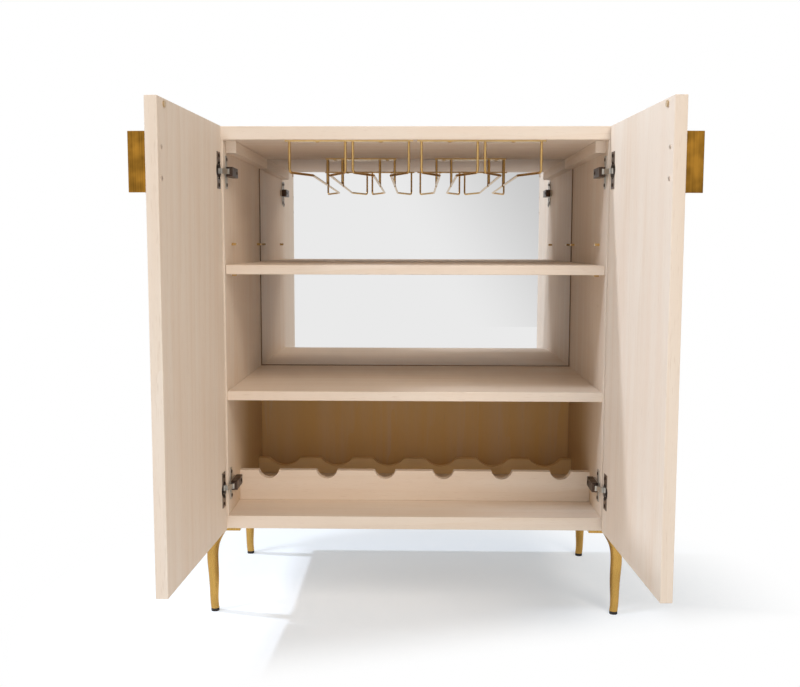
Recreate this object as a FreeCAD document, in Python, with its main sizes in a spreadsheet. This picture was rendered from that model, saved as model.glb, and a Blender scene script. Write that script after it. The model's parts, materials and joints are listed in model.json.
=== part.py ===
import FreeCAD, Part
import math
import os
import re

# Bar armoire: a whitewashed wood cabinet on brass legs, with two doors on concealed hinges.
# Every piece is drawn with the doors shut, x to the right, y from the front edge of the cabinet
# towards the back and z up from the floor. The doors are then swung open and the whole is
# centred over the floor, so that the origin is under the middle of the opened cabinet.

# Driving sizes in millimetres, angles in degrees
SIZES = {
    # Cabinet body
    "width": 762,
    "body_height": 774,
    "body_depth": 426,
    "leg_height": 176,
    "slab_thickness": 25,
    "side_thickness": 19,
    "back_thickness": 9,
    "back_inset": 1,
    "shelf_thickness": 18,
    "shelf_setback": 8,
    "bottle_bay_height": 227,
    "middle_bay_height": 226,
    "upper_shelf_gap": 1,
    "mirror_thickness": 5,
    "mirror_gap": 0.5,
    "cleat_thickness": 20,
    "cleat_height": 22,
    "cleat_setback": 28,
    # Bottle rails
    "rail_thickness": 18,
    "neck_rail_setback": 122,
    "neck_rail_height": 62.5,
    "neck_notch_radius": 22,
    "neck_notch_depth": 17,
    "body_rail_inset": 39,
    "body_rail_height": 35,
    "body_notch_radius": 45,
    "body_notch_depth": 18,
    "body_crest_radius": 9,
    # Dowels, shelf pins and screws
    "dowel_radius": 4,
    "dowel_length": 24,
    "hole_clearance": 0.05,
    "pin_radius": 2.5,
    "pin_depth": 9,
    "pin_hole_depth": 10,
    "pin_pitch": 60,
    "pin_front_setback": 75,
    "pin_back_inset": 32,
    "pin_tab_length": 9,
    "pin_tab_width": 8,
    "screw_radius": 2,
    "screw_head_radius": 3.6,
    "screw_head_height": 1.6,
    "screw_grip": 12,
    "overrun": 5,
    # Legs
    "leg_plate_thickness": 6,
    "leg_plate_width": 38,
    "leg_plate_length": 44,
    "leg_plate_inset": 2,
    "leg_setback": 26,
    "rear_leg_inset": 11,
    "rear_leg_side_inset": 9,
    "leg_root_inset": 1.5,
    "leg_brow_outset": 19,
    "leg_outset": 16.2,
    "leg_root_radius": 10,
    "leg_brow_radius": 11.2,
    "leg_foot_radius": 8.2,
    "foot_cap_height": 6,
    "foot_cap_radius": 8,
    "leg_screw_margin": 8,
    # Stemware racks
    "rack_gap": 8,
    "rack_width": 242,
    "rack_bar_depth": 14,
    "rack_bar_thickness": 3,
    "rack_front_setback": 5,
    "rack_back_clearance": 5,
    "rack_rear_bar_width": 162,
    "rack_drop": 60,
    "rack_wire_radius": 2.4,
    "rack_bend_radius": 7,
    "rack_stem_gap": 34,
    "rack_mouth_gap": 106,
    "rack_channel_pitch": 120,
    "rack_flare_length": 78,
    # Doors
    "door_thickness": 20,
    "door_gap": 3,
    "door_meeting_gap": 3,
    "door_open_angle": 92.8,
    "bumper_radius": 5,
    "bumper_thickness": 2.6,
    "bumper_inset": 33,
    "bumper_drop": 9,
    # Door pulls
    "pull_height": 91,
    "pull_reach": 26.5,
    "pull_thickness": 4.5,
    "pull_flange_width": 32,
    "pull_flange_thickness": 4,
    "pull_edge_inset": 1,
    "pull_drop": 98,
    "pull_screw_inset": 16,
    "pull_screw_spacing": 47,
    # Concealed hinges
    "hinge_inset": 84,
    "plate_thickness": 2,
    "plate_rise": 4.5,
    "plate_setback": 24,
    "plate_wing_width": 13,
    "plate_wing_height": 62,
    "plate_screw_spacing": 48,
    "plate_width": 16,
    "plate_front_setback": 12,
    "plate_length": 48,
    "arm_height": 12,
    "arm_width": 18,
    "arm_setback": 6,
    "arm_length": 56,
    "arm_screw_setback": 50,
    "arm_pin_rise": 9,
    "arm_pin_setback": 2,
    "arm_pin_radius": 1.5,
    "arm_eye_radius": 3,
    "cheek_thickness": 2,
    "cheek_clearance": 0.3,
    "link_width": 10,
    "link_thickness": 2,
    "link_crank_length": 6.2,
    "link_crank_angle": 20,
    "link_turn_share": 0.2556,
    "cup_radius": 17.5,
    "cup_wall": 1,
    "cup_depth": 11.5,
    "cup_inset": 20.5,
    "cup_pin_inset": 8.2,
    "cup_pin_sink": 3.1,
    "cup_pin_radius": 1.25,
    "cup_eye_radius": 2.4,
    "cup_lug_thickness": 3,
    "cup_lug_width": 3.8,
    "flange_thickness": 1.2,
    "flange_width": 22,
    "flange_height": 68,
    "flange_offset": 2.5,
    "flange_screw_spacing": 54,
}

# Places worked out from the driving sizes
PLACES = {
    "outer_half": "width / 2",
    "inner_half": "width / 2 - side_thickness",
    "board_depth": "body_depth - back_thickness",
    "mirror_face": "board_depth - mirror_thickness",
    "body_rail_setback": "board_depth - body_rail_inset - rail_thickness",
    "pin_back_setback": "mirror_face - pin_back_inset",
    "body_top": "leg_height + body_height",
    "bay_floor": "leg_height + slab_thickness",
    "ceiling": "body_top - slab_thickness",
    "middle_base": "bay_floor + bottle_bay_height",
    "middle_top": "middle_base + shelf_thickness",
    "upper_base": "middle_top + middle_bay_height",
    "pin_axis": "upper_base - pin_radius",
    "dowel_hole": "dowel_radius + hole_clearance",
    "screw_hole": "screw_radius + hole_clearance",
    "head_hole": "screw_head_radius + hole_clearance",
    "pin_hole": "pin_radius + hole_clearance",
    "door_width": "width / 2 - door_meeting_gap / 2",
    "door_back": "-door_gap",
    "door_front": "-door_gap - door_thickness",
    "pull_middle": "body_top - pull_drop",
    "rack_middle": "rack_gap / 2 + rack_width / 2",
    "rack_front_bar": "rack_front_setback",
    "rack_rear_bar": "mirror_face - rack_back_clearance - rack_bar_depth",
    "rack_front_line": "rack_front_bar + rack_bar_depth / 2",
    "rack_rear_line": "rack_rear_bar + rack_bar_depth / 2",
    "rack_wire_top": "ceiling - rack_bar_thickness",
    "rack_rail_level": "ceiling - rack_drop",
    "plate_face": "-inner_half + plate_thickness",
    "arm_base": "-inner_half + plate_rise",
    "arm_pin_x": "-inner_half + arm_pin_rise",
    "cup_pin_x": "-outer_half + cup_pin_inset",
    "cup_pin_y": "door_back - cup_pin_sink",
    "cup_x": "-outer_half + cup_inset",
    "cup_floor": "door_back - cup_depth",
    "flange_x": "cup_x + flange_offset",
    "eye_gap": "link_width / 2 + cheek_clearance",
}

DOWEL_SHARES = (0.12, 0.5, 0.88)
CLEAT_DOWEL_SHARES = (0.2, 0.8)
BACK_SCREW_HEIGHT_SHARES = (0.12, 0.37, 0.63, 0.88)
BACK_SCREW_WIDTH_SHARES = (-0.3, 0.0, 0.3)
NOTCH_COUNT = 6
# Leg outline from the plate to the foot: share of the height, then of the root, the brow and the foot
LEG_SHARES = (
    (1.0, 1.0, 0.0, 0.0),
    (0.92, 0.61, 0.39, 0.0),
    (0.847, 0.29, 0.71, 0.0),
    (0.786, 0.11, 0.89, 0.0),
    (0.707, 0.0, 1.0, 0.0),
    (0.33, 0.0, 0.5, 0.5),
    (0.0, 0.0, 0.0, 1.0),
)

doc = FreeCAD.newDocument("BarArmoire")
sheet = doc.addObject("Spreadsheet::Sheet", "Sizes")
for row, (alias, number) in enumerate(SIZES.items(), start=1):
    sheet.set(f"A{row}", alias)
    sheet.set(f"B{row}", str(number))
    sheet.setAlias(f"B{row}", alias)
doc.recompute()

nodes = []


def formula(text):
    """Write a sum of named sizes and places as an expression on the sheet."""
    def swap(match):
        word = match.group()
        if word in PLACES:
            return "(" + formula(PLACES[word]) + ")"
        if word in SIZES:
            return "Sizes." + word
        return word
    return re.sub(r"[a-z][a-z_]*", swap, text)


def bind(item, **sizes):
    for name, text in sizes.items():
        item.setExpression(name, formula(text))


def put(item, x, y, z):
    for letter, text in zip("xyz", (x, y, z)):
        item.setExpression("Placement.Base." + letter, formula(text))


def block(corner, lengths):
    item = doc.addObject("Part::Box", "Block")
    bind(item, Length=lengths[0], Width=lengths[1], Height=lengths[2])
    put(item, *corner)
    return item


TURNS = {
    "x": FreeCAD.Rotation(FreeCAD.Vector(0, 1, 0), 90),
    "y": FreeCAD.Rotation(FreeCAD.Vector(1, 0, 0), -90),
    "z": FreeCAD.Rotation(),
}


def rod(start, axis, radius, length):
    """A round bar that runs from its start along +x, +y or +z."""
    item = doc.addObject("Part::Cylinder", "Rod")
    item.Placement = FreeCAD.Placement(FreeCAD.Vector(), TURNS[axis])
    bind(item, Radius=radius, Height=length)
    put(item, *start)
    return item


def point(x, y, z):
    item = doc.addObject("Part::Vertex", "Point")
    bind(item, X=x, Y=y, Z=z)
    return item


def group(items):
    item = doc.addObject("Part::Compound", "Group")
    item.Links = list(items)
    return item


def joined(items):
    item = doc.addObject("Part::MultiFuse", "Joined")
    item.Shapes = list(items)
    return item


def cut(base, tools):
    item = doc.addObject("Part::Cut", "Cut")
    item.Base = base
    item.Tool = group(tools)
    return item


def mirrored(piece, axis="x"):
    """The same piece on the other side: right for left, or rear for front."""
    item = doc.addObject("Part::Mirroring", "Mirrored")
    item.Source = piece
    if axis == "x":
        item.Normal = FreeCAD.Vector(1, 0, 0)
    else:
        item.Normal = FreeCAD.Vector(0, 1, 0)
        item.setExpression("Base.y", formula("(body_depth - rear_leg_inset) / 2"))
    return item


def solid(shape):
    item = doc.addObject("Part::Feature", "Solid")
    item.Shape = shape
    return item


def node(label, body, pieces):
    item = doc.addObject("Part::Compound", label)
    item.Label = label
    item.Links = list(pieces)
    nodes.append((item, body))


def pair(name, body, pieces):
    """A left node and its mirror image on the right; name holds a place for the side."""
    node(name.format("left"), body.format("left"), pieces)
    node(name.format("right"), body.format("right"), [mirrored(piece) for piece in pieces])


def both_sides(pieces):
    return list(pieces) + [mirrored(piece) for piece in pieces]


def screw(head, axis, sign, grip):
    """A pan-head screw; head is the middle of the face under the head, and sign the way it points."""
    x, y, z = head
    along = {"x": x, "y": y, "z": z}
    def moved(text):
        place = dict(along)
        place[axis] = f"{place[axis]} {text}"
        return place["x"], place["y"], place["z"]
    if sign > 0:
        cap, shank = moved("- screw_head_height"), moved("+ 0")
    else:
        cap, shank = moved("+ 0"), moved(f"- ({grip})")
    head_disc = rod(cap, axis, "screw_head_radius", "screw_head_height")
    return joined([head_disc, rod(shank, axis, "screw_radius", grip)])


def bore(face, axis, sign, radius, depth):
    """A hole that starts an overrun above a face and goes the given depth into it."""
    x, y, z = face
    along = {"x": x, "y": y, "z": z}
    if sign > 0:
        along[axis] = f"{along[axis]} - overrun"
    else:
        along[axis] = f"{along[axis]} - ({depth})"
    return rod((along["x"], along["y"], along["z"]), axis, radius, f"{depth} + overrun")


def dowel(middle, axis):
    """A dowel across a joint, and the hole that it fills in both boards."""
    along = dict(zip("xyz", middle))
    along[axis] = f"{along[axis]} - dowel_length / 2"
    pin = rod((along["x"], along["y"], along["z"]), axis, "dowel_radius", "dowel_length")
    along[axis] = f"{along[axis]} - hole_clearance"
    hole = rod((along["x"], along["y"], along["z"]), axis, "dowel_hole", "dowel_length + 2 * hole_clearance")
    return pin, hole


# Dowels on the left half; the right half mirrors them
side_line = "-outer_half + side_thickness / 2"
top_dowels = [dowel((side_line, f"board_depth * {share}", "ceiling"), "z") for share in DOWEL_SHARES]
base_dowels = [dowel((side_line, f"board_depth * {share}", "bay_floor"), "z") for share in DOWEL_SHARES]
shelf_dowels = [
    dowel(("-inner_half", f"board_depth * {share}", "middle_base + shelf_thickness / 2"), "x")
    for share in DOWEL_SHARES
]
cleat_dowels = [
    dowel(("-inner_half", f"board_depth * {share}", "ceiling - cleat_height / 2"), "x")
    for share in CLEAT_DOWEL_SHARES
]
neck_middle = "neck_rail_setback + rail_thickness / 2"
neck_dowels = [dowel(("-inner_half", neck_middle, "bay_floor + neck_rail_height / 2"), "x")]
body_middle = "body_rail_setback + rail_thickness / 2"
body_dowels = [dowel(("-inner_half", body_middle, "bay_floor + body_rail_height / 2"), "x")]
every_dowel = top_dowels + base_dowels + shelf_dowels + cleat_dowels + neck_dowels + body_dowels


def holes_of(dowels):
    return [hole for pin, hole in dowels]


# Screws of the back panel: heads let in flush with its rear face
back_spots = [(side_line, f"leg_height + body_height * {share}") for share in BACK_SCREW_HEIGHT_SHARES]
slab_spots = [
    (f"width * {share}", level)
    for share in BACK_SCREW_WIDTH_SHARES
    for level in ("leg_height + slab_thickness / 2", "body_top - slab_thickness / 2")
]


def back_screw(spot):
    x, z = spot
    grip = "back_thickness - screw_head_height + screw_grip"
    return screw((x, "body_depth - screw_head_height", z), "y", -1, grip)


def back_bores(spot):
    x, z = spot
    shank = bore((x, "body_depth", z), "y", -1, "screw_hole", "back_thickness + screw_grip + hole_clearance")
    head = bore((x, "body_depth", z), "y", -1, "head_hole", "screw_head_height")
    return [shank, head]


side_back_bores = [back_bores(spot)[0] for spot in back_spots]
slab_back_bores = [back_bores(spot)[0] for spot in slab_spots]
back_screws = both_sides([back_screw(spot) for spot in back_spots])
back_screws += [back_screw(spot) for spot in slab_spots]
back_holes = [tool for spot in back_spots for tool in both_sides(back_bores(spot))]
back_holes += [tool for spot in slab_spots for tool in back_bores(spot)]

# Shelf pins and their rows of holes: four under the upper shelf and four spare ones above it
pin_columns = ("pin_front_setback", "pin_back_setback")
pin_levels = ("pin_axis - pin_pitch", "pin_axis", "pin_axis + pin_pitch")
pin_bores = [
    bore(("-inner_half", column, level), "x", -1, "pin_hole", "pin_hole_depth")
    for column in pin_columns
    for level in pin_levels
]
shelf_pins = [
    joined([
        rod(("-inner_half - pin_depth", column, level), "x", "pin_radius", "pin_depth + pin_tab_length"),
        block(("-inner_half", f"{column} - pin_tab_width / 2", f"{level} - pin_radius"),
              ("pin_tab_length", "pin_tab_width", "2 * pin_radius")),
    ])
    for column in pin_columns
    for level in pin_levels[1:]
]

# Legs: a plate under the body, and a tapered round post that sweeps out beyond the side
plate_near = "leg_setback - leg_plate_length / 2"
plate_base = "leg_height - leg_plate_thickness"


def leg_pieces(edge):
    """A front leg, its screws, their holes and its foot cap; edge is where the leg's side of the body lies."""
    plate_left = f"{edge} + leg_plate_inset"
    plate = block((plate_left, plate_near, plate_base),
                  ("leg_plate_width", "leg_plate_length", "leg_plate_thickness"))
    sections = []
    for height_share, root_share, brow_share, foot_share in LEG_SHARES:
        section = doc.addObject("Part::Circle", "LegSection")
        bind(section, Radius=f"leg_root_radius * {root_share} + leg_brow_radius * {brow_share}"
                             f" + leg_foot_radius * {foot_share}")
        sweep = f"leg_root_inset * {root_share} - leg_brow_outset * {brow_share} - leg_outset * {foot_share}"
        level = f"foot_cap_height + (leg_height - leg_plate_thickness - foot_cap_height) * {height_share}"
        put(section, f"{edge} + {sweep}", "leg_setback", level)
        sections.append(section)
    post = doc.addObject("Part::Loft", "LegPost")
    post.Sections = sections
    post.Solid = True
    post.Ruled = False
    inner = f"{plate_left} + leg_plate_width - leg_screw_margin"
    spots = [
        (inner, f"{plate_near} + leg_screw_margin"),
        (inner, f"{plate_near} + leg_plate_length - leg_screw_margin"),
        (f"{inner} - leg_screw_margin", "leg_setback"),
    ]
    screws = [screw((x, y, plate_base), "z", 1, "leg_plate_thickness + screw_grip") for x, y in spots]
    bores = [
        bore((x, y, plate_base), "z", 1, "screw_hole", "leg_plate_thickness + screw_grip + hole_clearance")
        for x, y in spots
    ]
    cap = rod((f"{edge} - leg_outset", "leg_setback", "0"), "z", "foot_cap_radius", "foot_cap_height")
    return cut(joined([plate, post]), bores), screws, bores, cap


front_leg, leg_screws, leg_bores, foot_cap = leg_pieces("-outer_half")
inset_leg, inset_screws, inset_bores, inset_cap = leg_pieces("-outer_half + rear_leg_side_inset")
rear_leg = mirrored(inset_leg, "y")
every_leg_screw = leg_screws + [mirrored(piece, "y") for piece in inset_screws]
every_leg_bore = leg_bores + [mirrored(piece, "y") for piece in inset_bores]
foot_caps = both_sides([foot_cap, mirrored(inset_cap, "y")])

# Stemware racks: flat bars screwed under the top, and bent wire rails in pairs
front_bar_start = "-rack_middle - rack_width / 2"
rear_bar_start = "-rack_middle - rack_rear_bar_width / 2"
rack_spots = [
    (f"-rack_middle {hand} rack_channel_pitch / 2", line)
    for line in ("rack_front_line", "rack_rear_line")
    for hand in ("-", "+")
]
rack_bores = [
    bore((x, y, "rack_wire_top"), "z", 1, "screw_hole", "rack_bar_thickness + screw_grip + hole_clearance")
    for x, y in rack_spots
]
rack_screws = [
    screw((x, y, "rack_wire_top"), "z", 1, "rack_bar_thickness + screw_grip") for x, y in rack_spots
]
rack_bars = [
    cut(block((front_bar_start, "rack_front_bar", "rack_wire_top"),
              ("rack_width", "rack_bar_depth", "rack_bar_thickness")), rack_bores[:2]),
    cut(block((rear_bar_start, "rack_rear_bar", "rack_wire_top"),
              ("rack_rear_bar_width", "rack_bar_depth", "rack_bar_thickness")), rack_bores[2:]),
]
rail_routes = {}
for channel, channel_sign in (("outer", "-"), ("inner", "+")):
    middle = f"-rack_middle {channel_sign} rack_channel_pitch / 2"
    rail_routes[channel] = []
    for hand in ("-", "+"):
        mouth = f"{middle} {hand} rack_mouth_gap / 2"
        stem = f"{middle} {hand} rack_stem_gap / 2"
        rail_routes[channel].append([
            point(mouth, "rack_front_line", "rack_wire_top"),
            point(mouth, "rack_front_line", "rack_rail_level"),
            point(stem, "rack_front_line + rack_flare_length", "rack_rail_level"),
            point(stem, "rack_rear_line", "rack_rail_level"),
            point(stem, "rack_rear_line", "rack_wire_top"),
        ])

# Concealed hinges: pivots in plan, the same at both heights
arm_pivot = point("arm_pin_x", "arm_pin_setback", "0")
cup_pivot = point("cup_pin_x", "cup_pin_y", "0")
doc.recompute()


def size(alias):
    return float(sheet.get(alias))


def spot(vertex):
    return FreeCAD.Vector(vertex.X.Value, vertex.Y.Value, vertex.Z.Value)


def bent_wire(points, radius, bend):
    """A round wire along straight runs joined by tangent arcs."""
    edges = []
    last = points[0]
    for before, corner, after in zip(points, points[1:], points[2:]):
        way_in = (corner - before).normalize()
        way_out = (after - corner).normalize()
        turn = way_in.getAngle(way_out)
        trim = bend * math.tan(turn / 2)
        start = corner - way_in * trim
        end = corner + way_out * trim
        inward = (way_out - way_in).normalize()
        middle = corner + inward * (bend / math.cos(turn / 2) - bend)
        edges.append(Part.LineSegment(last, start).toShape())
        edges.append(Part.Arc(start, middle, end).toShape())
        last = end
    edges.append(Part.LineSegment(last, points[-1]).toShape())
    ring = Part.Wire(Part.makeCircle(radius, points[0], points[1] - points[0]))
    return Part.Wire(edges).makePipeShell([ring], True, False)


def strap(start, end, thickness, height):
    """A flat strap that stands on a plan line, height tall about z = 0."""
    along = (end - start).normalize()
    across = FreeCAD.Vector(-along.y, along.x, 0) * (thickness / 2)
    drop = FreeCAD.Vector(0, 0, height / 2)
    corners = [start - across - drop, end - across - drop, end + across - drop, start + across - drop]
    face = Part.Face(Part.makePolygon(corners + corners[:1]))
    return face.extrude(drop * 2)


def upright(middle, radius, height):
    """A vertical round bar centred on z = 0."""
    base = middle - FreeCAD.Vector(0, 0, height / 2)
    return Part.makeCylinder(radius, height, base)


rack_rails = {
    channel: [
        solid(bent_wire([spot(stop) for stop in route], size("rack_wire_radius"), size("rack_bend_radius")))
        for route in routes
    ]
    for channel, routes in rail_routes.items()
}

arm_spot = spot(arm_pivot)
cup_spot = spot(cup_pivot)
crank = FreeCAD.Rotation(FreeCAD.Vector(0, 0, 1), -size("link_crank_angle")).multVec(FreeCAD.Vector(1, 0, 0))
crank_spot = cup_spot + crank * size("link_crank_length")
link_width = size("link_width")
link_thickness = size("link_thickness")
link_shape = strap(arm_spot, crank_spot, link_thickness, link_width)
for part in (
    strap(crank_spot, cup_spot, link_thickness, link_width),
    upright(crank_spot, link_thickness / 2, link_width),
    upright(arm_spot, size("arm_eye_radius"), link_width),
    upright(cup_spot, size("cup_eye_radius"), link_width),
):
    link_shape = link_shape.fuse(part)
arm_pin_reach = size("arm_pin_radius") + size("hole_clearance")
cup_pin_reach = size("cup_pin_radius") + size("hole_clearance")
link_shape = link_shape.cut(upright(arm_spot, arm_pin_reach, link_width * 2))
link_shape = link_shape.cut(upright(cup_spot, cup_pin_reach, link_width * 2))
link_shape = link_shape.removeSplitter()

HINGE_LEVELS = {"upper": "body_top - hinge_inset", "lower": "leg_height + hinge_inset"}
plates, arms, links, cups = {}, {}, {}, {}
plate_screws, plate_bores, arm_screws, arm_pins = [], [], [], []
cup_screws, cup_bores, cup_pins = [], [], []
for where, level in HINGE_LEVELS.items():
    # Mounting plate on the side panel's inner face
    wing_spots = [f"{level} - plate_screw_spacing / 2", f"{level} + plate_screw_spacing / 2"]
    wing_bores = [
        bore(("plate_face", "plate_setback", height), "x", -1, "screw_hole",
             "plate_thickness + screw_grip + hole_clearance")
        for height in wing_spots
    ]
    plate_bores += wing_bores
    plate_screws += [
        screw(("plate_face", "plate_setback", height), "x", -1, "plate_thickness + screw_grip")
        for height in wing_spots
    ]
    arm_top = ("arm_base + arm_height", "arm_screw_setback", level)
    arm_screw_hole = bore(arm_top, "x", -1, "screw_hole", "arm_height + plate_rise - hole_clearance")
    arm_screws.append(screw(arm_top, "x", -1, "arm_height + plate_thickness"))
    plates[where] = cut(joined([
        block(("-inner_half", "plate_setback - plate_wing_width / 2", f"{level} - plate_wing_height / 2"),
              ("plate_thickness", "plate_wing_width", "plate_wing_height")),
        block(("-inner_half", "plate_front_setback", f"{level} - plate_width / 2"),
              ("plate_rise", "plate_length", "plate_width")),
    ]), wing_bores + [arm_screw_hole])

    # Arm over the plate, with two cheeks that hold the link's pin
    cheeks = []
    for base in (f"{level} + eye_gap", f"{level} - eye_gap - cheek_thickness"):
        cheeks.append(block(("arm_pin_x - arm_eye_radius", "arm_pin_setback", base),
                            ("2 * arm_eye_radius", "arm_setback - arm_pin_setback", "cheek_thickness")))
        cheeks.append(rod(("arm_pin_x", "arm_pin_setback", base), "z", "arm_eye_radius", "cheek_thickness"))
    pin_half = "eye_gap + cheek_thickness"
    arm_pin_hole = rod(("arm_pin_x", "arm_pin_setback", f"{level} - ({pin_half}) - overrun"), "z",
                       "arm_pin_radius + hole_clearance / 2", f"2 * ({pin_half} + overrun)")
    arm_block = block(("arm_base", "arm_setback", f"{level} - arm_width / 2"),
                      ("arm_height", "arm_length", "arm_width"))
    arms[where] = cut(joined([arm_block] + cheeks), [arm_pin_hole, arm_screw_hole])
    pin_foot = ("arm_pin_x", "arm_pin_setback", f"{level} - ({pin_half})")
    arm_pins.append(rod(pin_foot, "z", "arm_pin_radius", f"2 * ({pin_half})"))

    # Link between the arm and the cup
    link = solid(link_shape)
    link.setExpression("Placement.Base.z", formula(level))
    links[where] = link

    # Cup let into the door, with a flange on its inner face and two lugs for the pin
    flange = block(("flange_x - flange_width / 2", "door_back", f"{level} - flange_height / 2"),
                   ("flange_width", "flange_thickness", "flange_height"))
    drum = rod(("cup_x", "cup_floor", level), "y", "cup_radius", "cup_depth")
    hollow = rod(("cup_x", "cup_floor + cup_wall", level), "y",
                 "cup_radius - cup_wall", "cup_depth + overrun")
    flange_spots = [f"{level} - flange_screw_spacing / 2", f"{level} + flange_screw_spacing / 2"]
    flange_face = "door_back + flange_thickness"
    flange_bores = [
        bore(("flange_x", flange_face, height), "y", -1, "screw_hole",
             "flange_thickness + screw_grip + hole_clearance")
        for height in flange_spots
    ]
    cup_screws += [
        screw(("flange_x", flange_face, height), "y", -1, "flange_thickness + screw_grip")
        for height in flange_spots
    ]
    lugs = [
        block(("cup_pin_x - cup_lug_width / 2", "cup_floor + cup_wall / 2", base),
              ("cup_lug_width", "cup_pin_y - cup_floor - cup_wall / 2 + cup_eye_radius", "cup_lug_thickness"))
        for base in (f"{level} + eye_gap", f"{level} - eye_gap - cup_lug_thickness")
    ]
    lug_half = "eye_gap + cup_lug_thickness"
    cup_pin_hole = rod(("cup_pin_x", "cup_pin_y", f"{level} - ({lug_half}) - overrun"), "z",
                       "cup_pin_radius + hole_clearance / 2", f"2 * ({lug_half} + overrun)")
    shell = cut(joined([flange, drum]), [hollow])
    cups[where] = cut(joined([shell] + lugs), flange_bores + [cup_pin_hole])
    pin_foot = ("cup_pin_x", "cup_pin_y", f"{level} - ({lug_half})")
    cup_pins.append(rod(pin_foot, "z", "cup_pin_radius", f"2 * ({lug_half})"))
    cup_bores += flange_bores
    cup_bores.append(rod(("cup_x", "cup_floor - hole_clearance", level), "y", "cup_radius + hole_clearance",
                         "cup_depth + overrun"))

# Door pull, its screws and the bumper, on the free edge of the left door
door_left = "-outer_half"
free_edge = "-outer_half + door_width"
pull_right = f"{free_edge} - pull_edge_inset"
pull_base = "pull_middle - pull_height / 2"
pull_spots = [
    (f"{free_edge} - pull_screw_inset", "pull_middle - pull_screw_spacing / 2"),
    (f"{free_edge} - pull_screw_inset", "pull_middle + pull_screw_spacing / 2"),
]
pull_grip = "door_thickness + pull_flange_thickness"
pull_bores = [
    bore((x, "door_back", z), "y", -1, "screw_hole", f"{pull_grip} + overrun") for x, z in pull_spots
]
pull_screws = [screw((x, "door_back", z), "y", -1, pull_grip) for x, z in pull_spots]
door_pull = cut(joined([
    block((f"{pull_right} - pull_flange_width", "door_front - pull_flange_thickness", pull_base),
          ("pull_flange_width", "pull_flange_thickness", "pull_height")),
    block((f"{pull_right} - pull_thickness", "door_front - pull_reach", pull_base),
          ("pull_thickness", "pull_reach", "pull_height")),
]), pull_bores)
bumper_spot = (f"{free_edge} - bumper_inset", "door_back", "body_top - bumper_drop")
bumper = rod(bumper_spot, "y", "bumper_radius", "bumper_thickness")
door_board = block((door_left, "door_front", "leg_height"), ("door_width", "door_thickness", "body_height"))
door = cut(door_board, pull_bores + cup_bores)

# Boards
slab = ("width", "board_depth", "slab_thickness")
top_holes = both_sides(holes_of(top_dowels) + rack_bores) + slab_back_bores
node("top_panel", "carcass", [cut(block(("-outer_half", "0", "ceiling"), slab), top_holes)])
bottom_holes = both_sides(holes_of(base_dowels) + every_leg_bore) + slab_back_bores
node("bottom_panel", "carcass", [cut(block(("-outer_half", "0", "leg_height"), slab), bottom_holes)])
side = cut(
    block(("-outer_half", "0", "bay_floor"), ("side_thickness", "board_depth", "ceiling - bay_floor")),
    holes_of(every_dowel) + pin_bores + plate_bores + side_back_bores,
)
pair("{}_side_panel", "carcass", [side])
node("back_panel", "carcass", [
    cut(block(("-outer_half + back_inset", "board_depth", "leg_height + back_inset"),
              ("width - 2 * back_inset", "back_thickness", "body_height - 2 * back_inset")), back_holes)
])
node("mirror_panel", "carcass", [
    block(("-inner_half + mirror_gap", "mirror_face", "middle_top"),
          ("2 * (inner_half - mirror_gap)", "mirror_thickness", "ceiling - middle_top - mirror_gap"))
])
node("middle_shelf", "carcass", [
    cut(block(("-inner_half", "shelf_setback", "middle_base"),
              ("2 * inner_half", "board_depth - shelf_setback", "shelf_thickness")),
        both_sides(holes_of(shelf_dowels)))
])
node("upper_shelf", "carcass", [
    block(("-inner_half + upper_shelf_gap", "shelf_setback", "upper_base"),
          ("2 * (inner_half - upper_shelf_gap)", "mirror_face - shelf_setback - upper_shelf_gap",
           "shelf_thickness"))
])
cleat = cut(
    block(("-inner_half", "cleat_setback", "ceiling - cleat_height"),
          ("cleat_thickness", "mirror_face - cleat_setback", "cleat_height")),
    holes_of(cleat_dowels),
)
pair("{}_top_cleat", "carcass", [cleat])


def bottle_rail(setback, height, radius, depth, dowels):
    """A board across the bottle bay with a row of round notches along its top."""
    level = f"bay_floor + {height}"
    board = block(("-inner_half", setback, "bay_floor"), ("2 * inner_half", "rail_thickness", height))
    notches = [
        rod((f"-inner_half + 2 * inner_half * {index + 0.5} / {NOTCH_COUNT}", f"{setback} - overrun",
             f"{level} - {depth} + {radius}"), "y", radius, "rail_thickness + 2 * overrun")
        for index in range(NOTCH_COUNT)
    ]
    return cut(board, notches + both_sides(holes_of(dowels)))


def rounded_crests(rail, radius):
    """The same rail with the corners between its notches rounded over."""
    doc.recompute()
    bounds = rail.Shape.BoundBox
    chosen = []
    for index, edge in enumerate(rail.Shape.Edges, start=1):
        middle = edge.CenterOfMass
        along_depth = edge.BoundBox.YLength > edge.Length / 2
        on_top = middle.z > bounds.ZMax - radius / 2
        between_ends = bounds.XMin + radius / 2 < middle.x < bounds.XMax - radius / 2
        if along_depth and on_top and between_ends:
            chosen.append((index, radius, radius))
    item = doc.addObject("Part::Fillet", "Rounded")
    item.Base = rail
    item.Edges = chosen
    return item


node("bottle_neck_rail", "carcass", [
    bottle_rail("neck_rail_setback", "neck_rail_height", "neck_notch_radius", "neck_notch_depth", neck_dowels)
])
body_rail = bottle_rail(
    "body_rail_setback", "body_rail_height", "body_notch_radius", "body_notch_depth", body_dowels
)
node("bottle_body_rail", "carcass", [rounded_crests(body_rail, size("body_crest_radius"))])
node("carcass_dowels", "carcass", both_sides([pin for pin, hole in every_dowel]))
node("shelf_pins", "carcass", both_sides(shelf_pins))
node("back_panel_screws", "carcass", back_screws)
pair("front_{}_leg", "carcass", [front_leg])
pair("rear_{}_leg", "carcass", [rear_leg])
node("foot_caps", "carcass", foot_caps)
node("leg_screws", "carcass", both_sides(every_leg_screw))
pair("{}_rack_bars", "carcass", rack_bars)
pair("{}_rack_outer_rails", "carcass", rack_rails["outer"])
pair("{}_rack_inner_rails", "carcass", rack_rails["inner"])
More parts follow.
